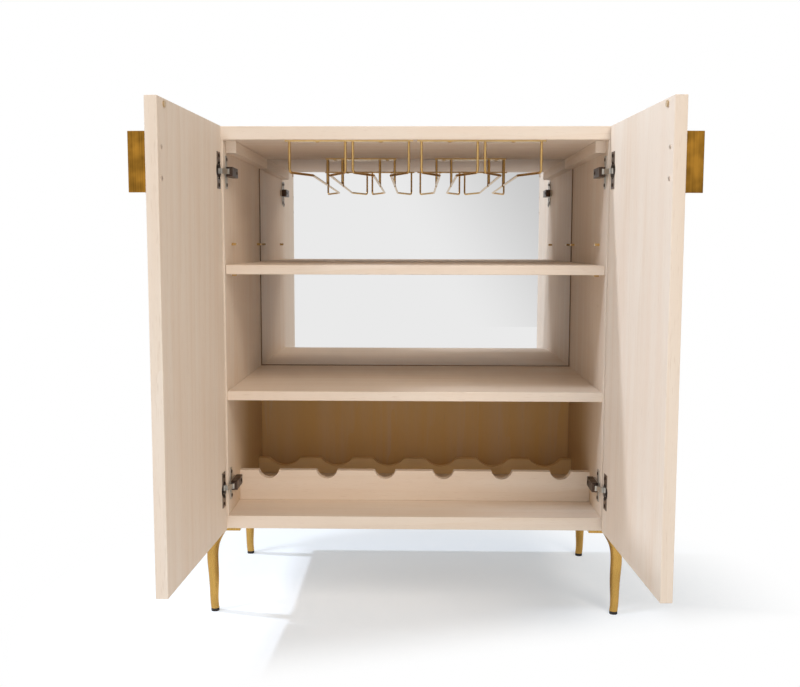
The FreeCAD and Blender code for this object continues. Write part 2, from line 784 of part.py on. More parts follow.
node("rack_screws", "carcass", both_sides(rack_screws))
for where in HINGE_LEVELS:
    pair("{}_" + where + "_hinge_plate", "carcass", [plates[where]])
    pair("{}_" + where + "_hinge_arm", "carcass", [arms[where]])
    pair("{}_" + where + "_hinge_link", "{}_links", [links[where]])
    pair("{}_" + where + "_hinge_cup", "{}_door", [cups[where]])
node("hinge_plate_screws", "carcass", both_sides(plate_screws))
node("hinge_arm_screws", "carcass", both_sides(arm_screws))
node("hinge_arm_pins", "carcass", both_sides(arm_pins))
pair("{}_door", "{}_door", [door])
pair("{}_door_pull", "{}_door", [door_pull])
pair("{}_pull_screws", "{}_door", pull_screws)
pair("{}_door_bumper", "{}_door", [bumper])
pair("{}_cup_screws", "{}_door", cup_screws)
pair("{}_cup_pins", "{}_door", cup_pins)

# Swing the doors open: each link turns about its arm pin, and the door about its cup pin
UP = FreeCAD.Vector(0, 0, 1)
door_angle = size("door_open_angle")
link_angle = door_angle * size("link_turn_share")


def swing(hand):
    """Placements of the links and the door on one side; hand is -1 on the left and 1 on the right."""
    arm = FreeCAD.Vector(-hand * arm_spot.x, arm_spot.y, 0)
    cup = FreeCAD.Vector(-hand * cup_spot.x, cup_spot.y, 0)
    link_turn = FreeCAD.Placement(FreeCAD.Vector(), FreeCAD.Rotation(UP, -hand * link_angle), arm)
    door_turn = FreeCAD.Rotation(UP, hand * door_angle)
    door_place = FreeCAD.Placement(link_turn.multVec(cup) - door_turn.multVec(cup), door_turn)
    return link_turn, door_place


left_links, left_door = swing(-1)
right_links, right_door = swing(1)
doc.recompute()
free_corner = left_door.multVec(FreeCAD.Vector(door.Shape.BoundBox.XMax, door.Shape.BoundBox.YMax, 0))
middle_shift = -(free_corner.y + size("body_depth")) / 2
centred = FreeCAD.Placement(FreeCAD.Vector(0, middle_shift, 0), FreeCAD.Rotation())
BODIES = {
    "carcass": centred,
    "left_links": centred * left_links,
    "left_door": centred * left_door,
    "right_links": centred * right_links,
    "right_door": centred * right_door,
}
for item, body in nodes:
    item.Placement = BODIES[body]
doc.recompute()

for item in doc.Objects:
    if "Invalid" in item.State or "Error" in item.State:
        raise RuntimeError(f"{item.Name} ({item.Label}) failed: {item.State}")
for item, body in nodes:
    if item.Shape.isNull() or not item.Shape.isValid() or not item.Shape.Solids:
        raise RuntimeError(f"{item.Label} has no valid solid")

os.makedirs("parts", exist_ok=True)
for item, body in nodes:
    item.Shape.exportStep(f"parts/{item.Label}.step")
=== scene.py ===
import json
import math

import bmesh
import bpy
import numpy as np
from mathutils import Matrix, Vector

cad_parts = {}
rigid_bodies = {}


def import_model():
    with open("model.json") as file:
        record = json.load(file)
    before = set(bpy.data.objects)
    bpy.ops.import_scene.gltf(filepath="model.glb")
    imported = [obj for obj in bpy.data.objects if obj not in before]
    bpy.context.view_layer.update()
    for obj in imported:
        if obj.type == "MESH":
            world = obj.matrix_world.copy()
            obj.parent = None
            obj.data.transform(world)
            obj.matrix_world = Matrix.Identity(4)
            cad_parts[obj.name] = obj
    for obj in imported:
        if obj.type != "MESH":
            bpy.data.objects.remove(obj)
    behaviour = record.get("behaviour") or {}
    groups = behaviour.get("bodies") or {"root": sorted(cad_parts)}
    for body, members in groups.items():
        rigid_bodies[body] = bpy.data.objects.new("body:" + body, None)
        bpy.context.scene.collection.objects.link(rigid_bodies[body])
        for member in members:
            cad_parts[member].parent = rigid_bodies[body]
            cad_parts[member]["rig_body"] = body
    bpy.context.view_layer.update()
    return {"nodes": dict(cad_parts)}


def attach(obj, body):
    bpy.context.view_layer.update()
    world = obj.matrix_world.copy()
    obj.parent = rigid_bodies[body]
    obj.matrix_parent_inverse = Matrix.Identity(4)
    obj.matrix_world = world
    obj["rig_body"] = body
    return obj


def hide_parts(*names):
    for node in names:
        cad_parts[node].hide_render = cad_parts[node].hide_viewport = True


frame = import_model()

bl_info = {
    "name": "Bar Armoire",
    "version": (1, 0, 0),
    "blender": (4, 5, 0),
    "location": "View3D > Sidebar > Bar Armoire",
    "description": "Finishes a whitewashed bar cabinet on brass legs over its CAD frame",
    "category": "Object",
}

MILLIMETRE = 0.001
WHITE = (1.0, 1.0, 1.0, 1.0)

# Photograph's camera: place in metres, turns in radians, lens for a 36 mm wide sensor
CAMERA_PLACE = (0.0050751, -1.8653963, 0.7289481)
CAMERA_YAW = -0.0178
CAMERA_PITCH = 0.1016
CAMERA_ROLL = 0.0019
CAMERA_LENS = 43.585
SENSOR_WIDTH = 36.0

# Stage: where lamps point, how far the floor reaches and where its shadow lies, in metres
LAMP_TARGET = (0.0, 0.0, 0.45)
FLOOR_REACH = 6.0
SHADOW_MIDDLE = (0.02, 0.1, 0.0)
# Directions in which the shadow fades first, and in which the grey card stands
SHADOW_FADE = (0.3, -1.0, 0.0)
CARD_DIRECTION = (1.0, 0.0, 0.6)

# Axes that wood grain and brush lines follow
ALONG_WIDTH = 0
ALONG_DEPTH = 1
ALONG_HEIGHT = 2

# Pith that the growth rings go round: its place in metres, its lean, and its turn for each axis in radians
PITH_PLACE = (0.37, 0.52, 0.11)
PITH_LEAN = (0.05, 0.035, 0.02)
PITH_TURNS = ((0.0, math.pi / 2, 0.0), (math.pi / 2, 0.0, 0.0), (0.0, 0.0, 0.0))
# Distance between the rings of Blender's wave texture at a scale of 1
WAVE_PERIOD = math.tau / 20

# How far a metal's roughness strays below and above its mean
GLOSSIER = 0.06
DULLER = 0.08

# Sockets of a Mix node, by number because several have the same name
MIX_SHARE = 0
MIX_VALUE_A = 2
MIX_VALUE_B = 3
MIX_COLOUR_A = 6
MIX_COLOUR_B = 7
MIXED_VALUE = 0
MIXED_COLOUR = 2

# Meshes: what counts as one point, as flat, as rounded and as sharp
MERGE_DISTANCE = 0.002 * MILLIMETRE
FLAT_ANGLE = math.radians(0.5)
ROUND_ANGLE = math.radians(40)
SHARP_ANGLE = math.radians(50)
LARGEST_CURVED_FACE = 400 * MILLIMETRE ** 2

# Shortest edges that are eased, so that bores and notches keep their rims
BOARD_EDGE = 20 * MILLIMETRE
ARM_EDGE = 8 * MILLIMETRE
PULL_EDGE = 3 * MILLIMETRE

# Screws: the cross recess and the crown as shares of the head, and how the CAD screw is measured
SLOT_HALF_WIDTH = 0.15
SLOT_REACH = 0.58
SLOT_DEPTH = 0.75
CROWN_DROP = 0.3
HEAD_SQUARES = 5
HEAD_RIM = 0.95
TIP_SLICE = 0.1 * MILLIMETRE
TIP_TAPER = 0.6
SHANK_SIDES = 12

HANDS = ("left", "right")
UPRIGHT_BOARDS = ("left_side_panel", "right_side_panel")
LEVEL_BOARDS = ("top_panel", "bottom_panel", "middle_shelf", "upper_shelf", "bottle_neck_rail")
CLEATS = ("left_top_cleat", "right_top_cleat")
LEGS = ("front_left_leg", "front_right_leg", "rear_left_leg", "rear_right_leg")
BRIGHT_SCREWS = ("left_pull_screws", "right_pull_screws", "back_panel_screws", "leg_screws")
DARK_SCREWS = ("hinge_plate_screws", "hinge_arm_screws", "left_cup_screws", "right_cup_screws")
HINGE_PINS = ("hinge_arm_pins", "left_cup_pins", "right_cup_pins")


def colour(text):
    """Turn an sRGB hex value into the linear RGBA that shaders use."""
    channels = [int(text[start:start + 2], 16) / 255 for start in (1, 3, 5)]
    linear = [c / 12.92 if c <= 0.04045 else ((c + 0.055) / 1.055) ** 2.4 for c in channels]
    return (*linear, 1.0)


def colour_setting(name, description, text):
    """A colour that the user can change, with its default as sRGB hex."""
    return bpy.props.FloatVectorProperty(
        name=name, description=description, size=4, subtype="COLOR", min=0.0, max=1.0, default=colour(text)
    )


def length_setting(name, description, millimetres):
    """A length that the user can change, with its default in millimetres."""
    return bpy.props.FloatProperty(
        name=name, description=description, unit="LENGTH", min=0.0, default=millimetres * MILLIMETRE
    )


def power_setting(name, description, watts):
    """A lamp's power that the user can change, with its default in watts."""
    return bpy.props.FloatProperty(name=name, description=description, unit="POWER", min=0.0, default=watts)


def share_setting(name, description, share):
    """A share from 0 to 1 that the user can change."""
    return bpy.props.FloatProperty(
        name=name, description=description, subtype="FACTOR", min=0.0, max=1.0, default=share
    )


class ArmoireWood(bpy.types.PropertyGroup):
    """Whitewashed wood of the boards, doors and rails."""

    board: colour_setting("Board", "Main tone of the whitewashed wood", "#EBD8C4")
    wash: colour_setting("Wash", "Tone where the whitewash lies thickest", "#F0E3D3")
    ring: colour_setting("Growth ring", "Tone of the late growth in each ring", "#DCC2A4")
    pore: colour_setting("Pore", "Tone of the open pores", "#BC9B78")
    back: colour_setting("Back panel", "Tone of the back panel, which has no whitewash", "#E2B674")
    rail: colour_setting("Rear rail", "Tone of the rear bottle rail, which has no whitewash", "#EFCB90")
    # Painted shade: the walls of the bottle bay darken to this browner tone towards the back, over this
    # depth
    bay: colour_setting("Bottle bay", "Tone at the back of the bottle bay's walls, thinly washed", "#C9A878")
    bay_shade_depth: length_setting("Bay fade", "Depth over which the bottle bay's wash thins out", 240.0)
    ring_spacing: length_setting("Ring spacing", "Distance between growth rings", 31.0)
    ring_sway: length_setting("Ring sway", "How far the growth rings wander", 70.0)
    sway_width: length_setting("Sway width", "Width of one wander of the growth rings", 90.0)
    sway_length: length_setting("Sway length", "Length of one wander of the growth rings", 700.0)
    fibre_width: length_setting("Fibre width", "Width of a fibre streak", 8.0)
    fibre_length: length_setting("Fibre length", "Length of a fibre streak", 420.0)
    pore_width: length_setting("Pore width", "Width of a pore streak", 1.3)
    pore_length: length_setting("Pore length", "Length of a pore streak", 26.0)
    pore_depth: length_setting("Pore depth", "Height of the relief of pores and fibres", 0.4)
    cloud_width: length_setting("Wash width", "Width of the lighter bands in the whitewash", 42.0)
    cloud_length: length_setting("Wash length", "Length of the lighter bands in the whitewash", 380.0)
    board_ease: length_setting("Board ease", "Width of the eased edge on boards and doors", 1.0)


class ArmoireFittings(bpy.types.PropertyGroup):
    """Brass, plated steel, mirror and rubber of the fittings."""

    pull: colour_setting("Pull brass", "Brushed brass of the door pulls", "#BE8834")
    leg: colour_setting("Leg brass", "Satin brass of the legs", "#CAA056")
    wire: colour_setting("Rack brass", "Brass plating of the glass racks and shelf pins", "#D9B576")
    nickel: colour_setting("Nickel", "Nickel plating of the hinge links and plates", "#CFCAC0")
    cup: colour_setting("Cup plating", "Duller nickel plating of the hinge cups", "#9C9086")
    oxide: colour_setting("Dark plating", "Dark plating of the hinge arms and screws", "#5A4A40")
    screw: colour_setting("Screw plating", "Zinc plating of the pull, leg and back screws", "#E6D6C6")
    silver: colour_setting("Mirror silver", "Silver behind the glass of the mirror", "#EAEAEA")
    # Painted shade: a thin brown line along the mirror's sides and base, for the dark gap where it meets the
    # walls and shelf
    seam_shade: colour_setting("Mirror edge", "Backing paint that shows along the mirror's edge", "#86684C")
    foot: colour_setting("Foot rubber", "Rubber of the foot caps", "#1E1C1B")
    bumper: colour_setting("Bumper rubber", "Rubber of the door bumpers", "#CDAE82")
    brush_width: length_setting("Brush line", "Width of a brush line on brass", 0.8)
    brush_length: length_setting("Brush stroke", "Length of a brush line on brass", 40.0)
    brush_depth: length_setting("Brush depth", "Height of the relief of the brush lines", 0.2)
    plating_cloud: length_setting("Plating cloud", "Size of the clouds in the steel's plating", 9.0)
    mirror_haze: length_setting("Mirror haze", "Size of the faint haze on the mirror", 240.0)
    # Width and blur of that painted shade line along the mirror's sides and base
    edge_line: length_setting("Mirror edge line", "Width of the paint line along the mirror's edge", 2.0)
    edge_blur: length_setting("Mirror edge blur", "Width over which that line gives way to silver", 0.8)
    rubber_grain: length_setting("Rubber grain", "Size of the moulded grain of the rubber", 1.2)
    rubber_depth: length_setting("Rubber depth", "Height of the relief of the rubber's grain", 0.2)
    fitting_ease: length_setting("Fitting ease", "Width of the eased edge on metal fittings", 0.5)


class ArmoireStage(bpy.types.PropertyGroup):
    """Floor, light and camera."""

    floor: colour_setting("Floor", "Colour of the pale floor", "#F4F4F4")
    shadow_floor: colour_setting("Floor seen", "Cooler floor against the wood's warm bounce", "#E7E8EA")
    shadow_glow: colour_setting("Shadow glow", "Cool tint that keeps the floor's shadow neutral", "#E0F2FF")
    daylight: colour_setting("Daylight", "Cool tint of the two lights at the left", "#E2EEFF")
    lamplight: colour_setting("Lamplight", "Warm tint of the light at the right", "#FFF5EA")
    key_power: power_setting("Key light", "Power of the soft light high at the front left", 78.0)
    side_power: power_setting("Side light", "Power of the small light high at the back left", 90.0)
    fill_power: power_setting("Fill light", "Power of the broad light high at the front right", 60.0)
    front_power: power_setting("Front light", "Power of the weak light behind the camera", 5.0)
    sky: share_setting("Room light", "Strength of the even light from all round", 0.4)
    shadow_lift: share_setting("Shadow lift", "Glow that lifts the floor's shadow to a light grey", 0.275)


def add(tree, kind, sockets=None, **settings):
    """Add one shader node with its settings, and set or link its input sockets."""
    node = tree.nodes.new(kind)
    for name, value in settings.items():
        setattr(node, name, value)
    for key, value in (sockets or {}).items():
        if isinstance(value, bpy.types.NodeSocket):
            tree.links.new(value, node.inputs[key])
        else:
            node.inputs[key].default_value = value
    return node


def new_material(name):
    """A new material, its empty node tree, and the place on the piece that patterns follow."""
    material = bpy.data.materials.new(name)
    material.use_nodes = True
    tree = material.node_tree
    tree.nodes.clear()
    place = add(tree, "ShaderNodeTexCoord").outputs["Object"]
    return material, tree, place


def dimmed(tone, share):
    """A linear colour with only a share of its brightness."""
    return (*(channel * share for channel in tone[:3]), 1.0)


def streaks(tree, place, grain, width, length, detail, roughness=0.5, shift=(0.0, 0.0, 0.0)):
    """Outputs of random streaks along one axis, of a real width and length, shifted off other streaks."""
    scale = [1 / width] * 3
    scale[grain] = 1 / length
    spot = add(tree, "ShaderNodeMapping", {
        "Vector": place, "Location": shift, "Scale": scale,
    }).outputs["Vector"]
    return add(tree, "ShaderNodeTexNoise", {
        "Vector": spot, "Scale": 1.0, "Detail": detail, "Roughness": roughness,
    }).outputs


def growth_rings(tree, place, grain):
    """Value that rises over each growth ring, round a distant and slightly tilted pith.

    Flat faces cut the rings at a low angle, so they show long arches.
    """
    look = bpy.context.scene.armoire_wood
    lean = list(PITH_LEAN)
    lean[grain] = 0.0
    turn = [lay + tilt for lay, tilt in zip(PITH_TURNS[grain], lean)]
    pith = add(tree, "ShaderNodeMapping", {
        "Vector": place, "Location": PITH_PLACE, "Rotation": turn,
    }).outputs["Vector"]
    wander = streaks(
        tree, place, grain, look.sway_width, look.sway_length, detail=3.0, shift=(3.1, 5.7, 1.9)
    )["Color"]
    centred = add(tree, "ShaderNodeVectorMath", {
        0: wander, 1: (0.5, 0.5, 0.5),
    }, operation="SUBTRACT").outputs[0]
    swayed = add(tree, "ShaderNodeVectorMath", {
        0: centred, 1: [look.ring_sway] * 3, 2: pith,
    }, operation="MULTIPLY_ADD").outputs[0]
    return add(tree, "ShaderNodeTexWave", {
        "Vector": swayed, "Scale": WAVE_PERIOD / look.ring_spacing, "Distortion": 0.0,
    }, wave_type="RINGS", rings_direction="Z", wave_profile="SAW").outputs["Fac"]


def painted_bay_shade(tree, place, bay):
    """Painted shade: a value that rises from 0 to 1 towards the back of the bottle bay's walls, and is 0
    elsewhere.
    """
    half_width, ceiling, front, back = bay
    axes = add(tree, "ShaderNodeSeparateXYZ", {0: place}).outputs
    off_middle = add(tree, "ShaderNodeMath", {0: axes["X"]}, operation="ABSOLUTE").outputs[0]
    inside = add(tree, "ShaderNodeMath", {0: off_middle, 1: half_width}, operation="LESS_THAN").outputs[0]
    below = add(tree, "ShaderNodeMath", {0: axes["Z"], 1: ceiling}, operation="LESS_THAN").outputs[0]
    deep = add(tree, "ShaderNodeMapRange", {
        "Value": axes["Y"], "From Min": front, "From Max": back,
    }).outputs[0]
    in_bay = add(tree, "ShaderNodeMath", {0: inside, 1: below}, operation="MULTIPLY").outputs[0]
    return add(tree, "ShaderNodeMath", {0: in_bay, 1: deep}, operation="MULTIPLY").outputs[0]


def whitewashed_oak(name, grain, bare=None, bay=None):
    """Limed oak veneer with the grain along one axis.

    Oak sliced flat shows long growth rings and short open pores. A thin white lime wash lies over
    both, so the contrast is low, the surface is matt, and the pores read as faint darker ticks.
    Given a bare tone, the same veneer has no wash and is warmer. Given the half width, ceiling, front
    and back of the bottle bay, the walls darken to a browner tone towards the back of that bay: painted
    shade.
    """
    look = bpy.context.scene.armoire_wood
    material, tree, place = new_material(name)
    fibre = streaks(
        tree, place, grain, look.fibre_width, look.fibre_length, detail=4.0, roughness=0.62
    )["Fac"]
    pores = streaks(
        tree, place, grain, look.pore_width, look.pore_length, detail=1.5, shift=(11.0, 7.0, 5.0)
    )["Fac"]
    clouds = streaks(
        tree, place, grain, look.cloud_width, look.cloud_length, detail=2.0, shift=(1.0, 2.0, 3.0)
    )["Fac"]
    pore_marks = add(tree, "ShaderNodeMapRange", {
        "Value": pores, "From Min": 0.62, "From Max": 0.74,
    }).outputs[0]

    thickest = 0.6
    plain = look.board
    cloudy = look.wash
    if bare is not None:
        thickest = 0.25
        plain = bare
        cloudy = look.ring
    cover = add(tree, "ShaderNodeMapRange", {
        "Value": clouds, "From Min": 0.35, "From Max": 0.68, "To Max": thickest,
    }).outputs[0]
    toned = add(tree, "ShaderNodeMix", {
        MIX_SHARE: cover, MIX_COLOUR_A: plain, MIX_COLOUR_B: cloudy,
    }, data_type="RGBA").outputs[MIXED_COLOUR]
    # Painted shade towards the back of the bottle bay's walls
    if bay is not None:
        toned = add(tree, "ShaderNodeMix", {
            MIX_SHARE: painted_bay_shade(tree, place, bay), MIX_COLOUR_A: toned, MIX_COLOUR_B: look.bay,
        }, data_type="RGBA").outputs[MIXED_COLOUR]

    late_growth = add(tree, "ShaderNodeMapRange", {
        "Value": growth_rings(tree, place, grain), "From Min": 0.35, "To Max": 0.3,
    }).outputs[0]
    fibre_tone = add(tree, "ShaderNodeMapRange", {
        "Value": fibre, "From Min": 0.35, "From Max": 0.7,
    }).outputs[0]
    ring_share = add(tree, "ShaderNodeMath", {
        0: late_growth, 1: fibre_tone,
    }, operation="MULTIPLY").outputs[0]
    ringed = add(tree, "ShaderNodeMix", {
        MIX_SHARE: ring_share, MIX_COLOUR_A: toned, MIX_COLOUR_B: look.ring,
    }, data_type="RGBA").outputs[MIXED_COLOUR]
    pore_contrast = 0.25
    pore_share = add(tree, "ShaderNodeMath", {
        0: pore_marks, 1: pore_contrast,
    }, operation="MULTIPLY").outputs[0]
    ticked = add(tree, "ShaderNodeMix", {
        MIX_SHARE: pore_share, MIX_COLOUR_A: ringed, MIX_COLOUR_B: look.pore,
    }, data_type="RGBA").outputs[MIXED_COLOUR]

    roughness = add(tree, "ShaderNodeMapRange", {
        "Value": fibre, "From Min": 0.2, "From Max": 0.8, "To Min": 0.52, "To Max": 0.66,
    }).outputs[0]
    pore_height = -0.7
    relief = add(tree, "ShaderNodeMath", {
        0: pore_marks, 1: pore_height, 2: fibre,
    }, operation="MULTIPLY_ADD").outputs[0]
    bump = add(tree, "ShaderNodeBump", {
        "Height": relief, "Strength": 0.18, "Distance": look.pore_depth,
    }).outputs["Normal"]
    shader = add(tree, "ShaderNodeBsdfPrincipled", {
        "Base Color": ticked, "Roughness": roughness, "Normal": bump,
        "IOR": 1.46, "Specular IOR Level": 0.35,
    })
    add(tree, "ShaderNodeOutputMaterial", {"Surface": shader.outputs[0]})
    return material


def brass(name, tone, roughness, grain, mottle, depth, line=1.0):
    """Satin brass under clear lacquer, with the brush lines of its last polish along one axis.

    The lines are drawn about four times as wide as real ones, so that they show at all in the render,
    and line makes them wider still. Mottle is the size of the stains in the lacquer, and depth is how
    much of the tone is left where they are darkest.
    """
    if name in bpy.data.materials:
        return bpy.data.materials[name]
    look = bpy.context.scene.armoire_fittings
    material, tree, place = new_material(name)
    width = look.brush_width * line
    length = look.brush_length * line
    lines = streaks(tree, place, grain, width, length, detail=3.0, roughness=0.6)["Fac"]
    stain = add(tree, "ShaderNodeTexNoise", {
        "Vector": place, "Scale": 1 / mottle, "Detail": 2.0, "Roughness": 0.5,
    }).outputs["Fac"]
    line_weight = 0.5
    mixed = add(tree, "ShaderNodeMath", {
        0: lines, 1: line_weight, 2: stain,
    }, operation="MULTIPLY_ADD").outputs[0]
    tarnish = add(tree, "ShaderNodeMapRange", {
        "Value": mixed, "From Min": 0.55, "From Max": 0.98,
    }).outputs[0]
    shade = add(tree, "ShaderNodeMix", {
        MIX_SHARE: tarnish, MIX_COLOUR_A: tone, MIX_COLOUR_B: dimmed(tone, depth),
    }, data_type="RGBA").outputs[MIXED_COLOUR]
    sheen = add(tree, "ShaderNodeMapRange", {
        "Value": lines, "From Min": 0.25, "From Max": 0.75,
        "To Min": roughness - GLOSSIER, "To Max": roughness + DULLER,
    }).outputs[0]
    bump = add(tree, "ShaderNodeBump", {
        "Height": lines, "Strength": 0.06, "Distance": look.brush_depth,
    }).outputs["Normal"]
    shader = add(tree, "ShaderNodeBsdfPrincipled", {
        "Base Color": shade, "Metallic": 1.0, "Roughness": sheen, "Normal": bump,
    })
    add(tree, "ShaderNodeOutputMaterial", {"Surface": shader.outputs[0]})
    return material


def plated_steel(name, tone, roughness, metallic=1.0):
    """Plating over stamped steel: a satin metal with a faint cloudy gloss, duller if less metallic."""
    if name in bpy.data.materials:
        return bpy.data.materials[name]
    look = bpy.context.scene.armoire_fittings
    material, tree, place = new_material(name)
    cloud = add(tree, "ShaderNodeTexNoise", {
        "Vector": place, "Scale": 1 / look.plating_cloud, "Detail": 3.0, "Roughness": 0.55,
    }).outputs["Fac"]
    shade = add(tree, "ShaderNodeMix", {
        MIX_SHARE: cloud, MIX_COLOUR_A: tone, MIX_COLOUR_B: dimmed(tone, share=0.72),
    }, data_type="RGBA").outputs[MIXED_COLOUR]
    gloss = add(tree, "ShaderNodeMapRange", {
        "Value": cloud, "From Min": 0.3, "From Max": 0.7,
        "To Min": roughness - GLOSSIER, "To Max": roughness + DULLER,
    }).outputs[0]
    shader = add(tree, "ShaderNodeBsdfPrincipled", {
        "Base Color": shade, "Metallic": metallic, "Roughness": gloss,
    })
    add(tree, "ShaderNodeOutputMaterial", {"Surface": shader.outputs[0]})
    return material


def rack_brass():
    """Brass plating of the stemware racks, their screws and the shelf pins."""
    tone = bpy.context.scene.armoire_fittings.wire
    return brass("brass_plated_wire", tone, roughness=0.25, grain=ALONG_DEPTH,
                 mottle=40 * MILLIMETRE, depth=0.78)


def dark_oxide():
    """Dark plating of the hinge arms, their pins and the hinge screws."""
    return plated_steel("dark_oxide_plate", bpy.context.scene.armoire_fittings.oxide, roughness=0.36)


def silvered_glass(name, half_width, base):
    """A mirror: silver behind clear float glass, a clean reflection with a trace of haze.

    The silver stops short of the sides and the base, where a thin brown line is painted as the shade of the
    gap between the mirror and the walls and shelf.
    """
    look = bpy.context.scene.armoire_fittings
    material, tree, place = new_material(name)
    axes = add(tree, "ShaderNodeSeparateXYZ", {0: place}).outputs
    off_middle = add(tree, "ShaderNodeMath", {0: axes["X"]}, operation="ABSOLUTE").outputs[0]
    from_side = add(tree, "ShaderNodeMath", {0: half_width, 1: off_middle}, operation="SUBTRACT").outputs[0]
    from_base = add(tree, "ShaderNodeMath", {0: axes["Z"], 1: base}, operation="SUBTRACT").outputs[0]
    from_edge = add(tree, "ShaderNodeMath", {0: from_side, 1: from_base}, operation="MINIMUM").outputs[0]
    # Silver's share: 0 on the painted shade line along the sides and base, 1 inside it
    silvered = add(tree, "ShaderNodeMapRange", {
        "Value": from_edge, "From Min": look.edge_line, "From Max": look.edge_line + look.edge_blur,
    }).outputs[0]
    shade = add(tree, "ShaderNodeMix", {
        MIX_SHARE: silvered, MIX_COLOUR_A: look.seam_shade, MIX_COLOUR_B: look.silver,
    }, data_type="RGBA").outputs[MIXED_COLOUR]
    haze = add(tree, "ShaderNodeTexNoise", {
        "Vector": place, "Scale": 1 / look.mirror_haze, "Detail": 2.0, "Roughness": 0.5,
    }).outputs["Fac"]
    gloss = add(tree, "ShaderNodeMapRange", {
        "Value": haze, "From Min": 0.3, "From Max": 0.7, "To Max": 0.025,
    }).outputs[0]
    seam_shade_roughness = 0.4
    roughness = add(tree, "ShaderNodeMix", {
        MIX_SHARE: silvered, MIX_VALUE_A: seam_shade_roughness, MIX_VALUE_B: gloss,
    }, data_type="FLOAT").outputs[MIXED_VALUE]
    shader = add(tree, "ShaderNodeBsdfPrincipled", {
        "Base Color": shade, "Metallic": silvered, "Roughness": roughness,
    })
    add(tree, "ShaderNodeOutputMaterial", {"Surface": shader.outputs[0]})
    return material


def moulded_rubber(name, tone, roughness):
    """Moulded rubber: an even colour with a fine matt grain from the mould."""
    look = bpy.context.scene.armoire_fittings
    material, tree, place = new_material(name)
    grain = add(tree, "ShaderNodeTexNoise", {
        "Vector": place, "Scale": 1 / look.rubber_grain, "Detail": 2.0, "Roughness": 0.6,
    }).outputs["Fac"]
    shade = add(tree, "ShaderNodeMix", {
        MIX_SHARE: grain, MIX_COLOUR_A: tone, MIX_COLOUR_B: dimmed(tone, share=0.75),
    }, data_type="RGBA").outputs[MIXED_COLOUR]
    bump = add(tree, "ShaderNodeBump", {
        "Height": grain, "Strength": 0.2, "Distance": look.rubber_depth,
    }).outputs["Normal"]
    shader = add(tree, "ShaderNodeBsdfPrincipled", {
        "Base Color": shade, "Roughness": roughness, "Normal": bump, "IOR": 1.52,
    })
    add(tree, "ShaderNodeOutputMaterial", {"Surface": shader.outputs[0]})
    return material


def corners_of(node):
    """Vertices of a CAD node as an array."""
    return np.array([vertex.co for vertex in frame["nodes"][node].data.vertices])


def finish_node(node, material):
    """Give a CAD node its material."""
    mesh = frame["nodes"][node].data
    mesh.materials.clear()
    mesh.materials.append(material)


def replace_node(node, name, shape, material):
    """Make a piece of a bmesh, with its finish, that rides on a CAD node's body and stands for the node."""
    mesh = bpy.data.meshes.new(name)
    shape.to_mesh(mesh)
    shape.free()
    mesh.materials.append(material)
    piece = bpy.data.objects.new(name, mesh)
    bpy.context.scene.collection.objects.link(piece)
    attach(piece, frame["nodes"][node]["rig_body"])
    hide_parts(node)


def merged_copy(node):
    """A bmesh of a CAD node with its loose triangles merged into clean flat faces."""
    shape = bmesh.new()
    shape.from_mesh(frame["nodes"][node].data)
    bmesh.ops.remove_doubles(shape, verts=shape.verts, dist=MERGE_DISTANCE)
    bmesh.ops.dissolve_limit(shape, angle_limit=FLAT_ANGLE, verts=shape.verts, edges=shape.edges)
    return shape


def shade_faces(shape):
    """Shade small curved faces smoothly, and large flat ones flat."""
    for face in shape.faces:
        face.smooth = True
    for edge in shape.edges:
        small = max(face.calc_area() for face in edge.link_faces) < LARGEST_CURVED_FACE
        edge.smooth = small and edge.is_manifold and edge.calc_face_angle() < ROUND_ANGLE


def ease_edges(shape, width, shortest):
    """Ease the long sharp edges of a bmesh, as sandpaper leaves them."""
    sharp = [
        edge for edge in shape.edges
        if edge.is_manifold and edge.calc_length() > shortest and edge.calc_face_angle() > SHARP_ANGLE
    ]
    bmesh.ops.bevel(shape, geom=sharp, offset=width, offset_type="OFFSET", affect="EDGES", segments=2,
                    profile=0.5, material=-1, clamp_overlap=False)
    shade_faces(shape)


def eased_piece(node, name, material, width, shortest):
    """Replace a CAD node by a copy with eased edges."""
    shape = merged_copy(node)
    ease_edges(shape, width, shortest)
    replace_node(node, name, shape, material)


def islands(shape):
    """Lists of the vertices of each separate solid in a bmesh."""
    seen = set()
    found = []
    for start in shape.verts:
        if start in seen:
            continue
        seen.add(start)
        group = [start]
        queue = [start]
        while queue:
            for edge in queue.pop().link_edges:
                for vert in edge.verts:
                    if vert not in seen:
                        seen.add(vert)
                        group.append(vert)
                        queue.append(vert)
        found.append(group)
    return found


def new_points(made):
    """The vertices among the parts that an extrude has made."""
    return [part for part in made["geom"] if isinstance(part, bmesh.types.BMVert)]


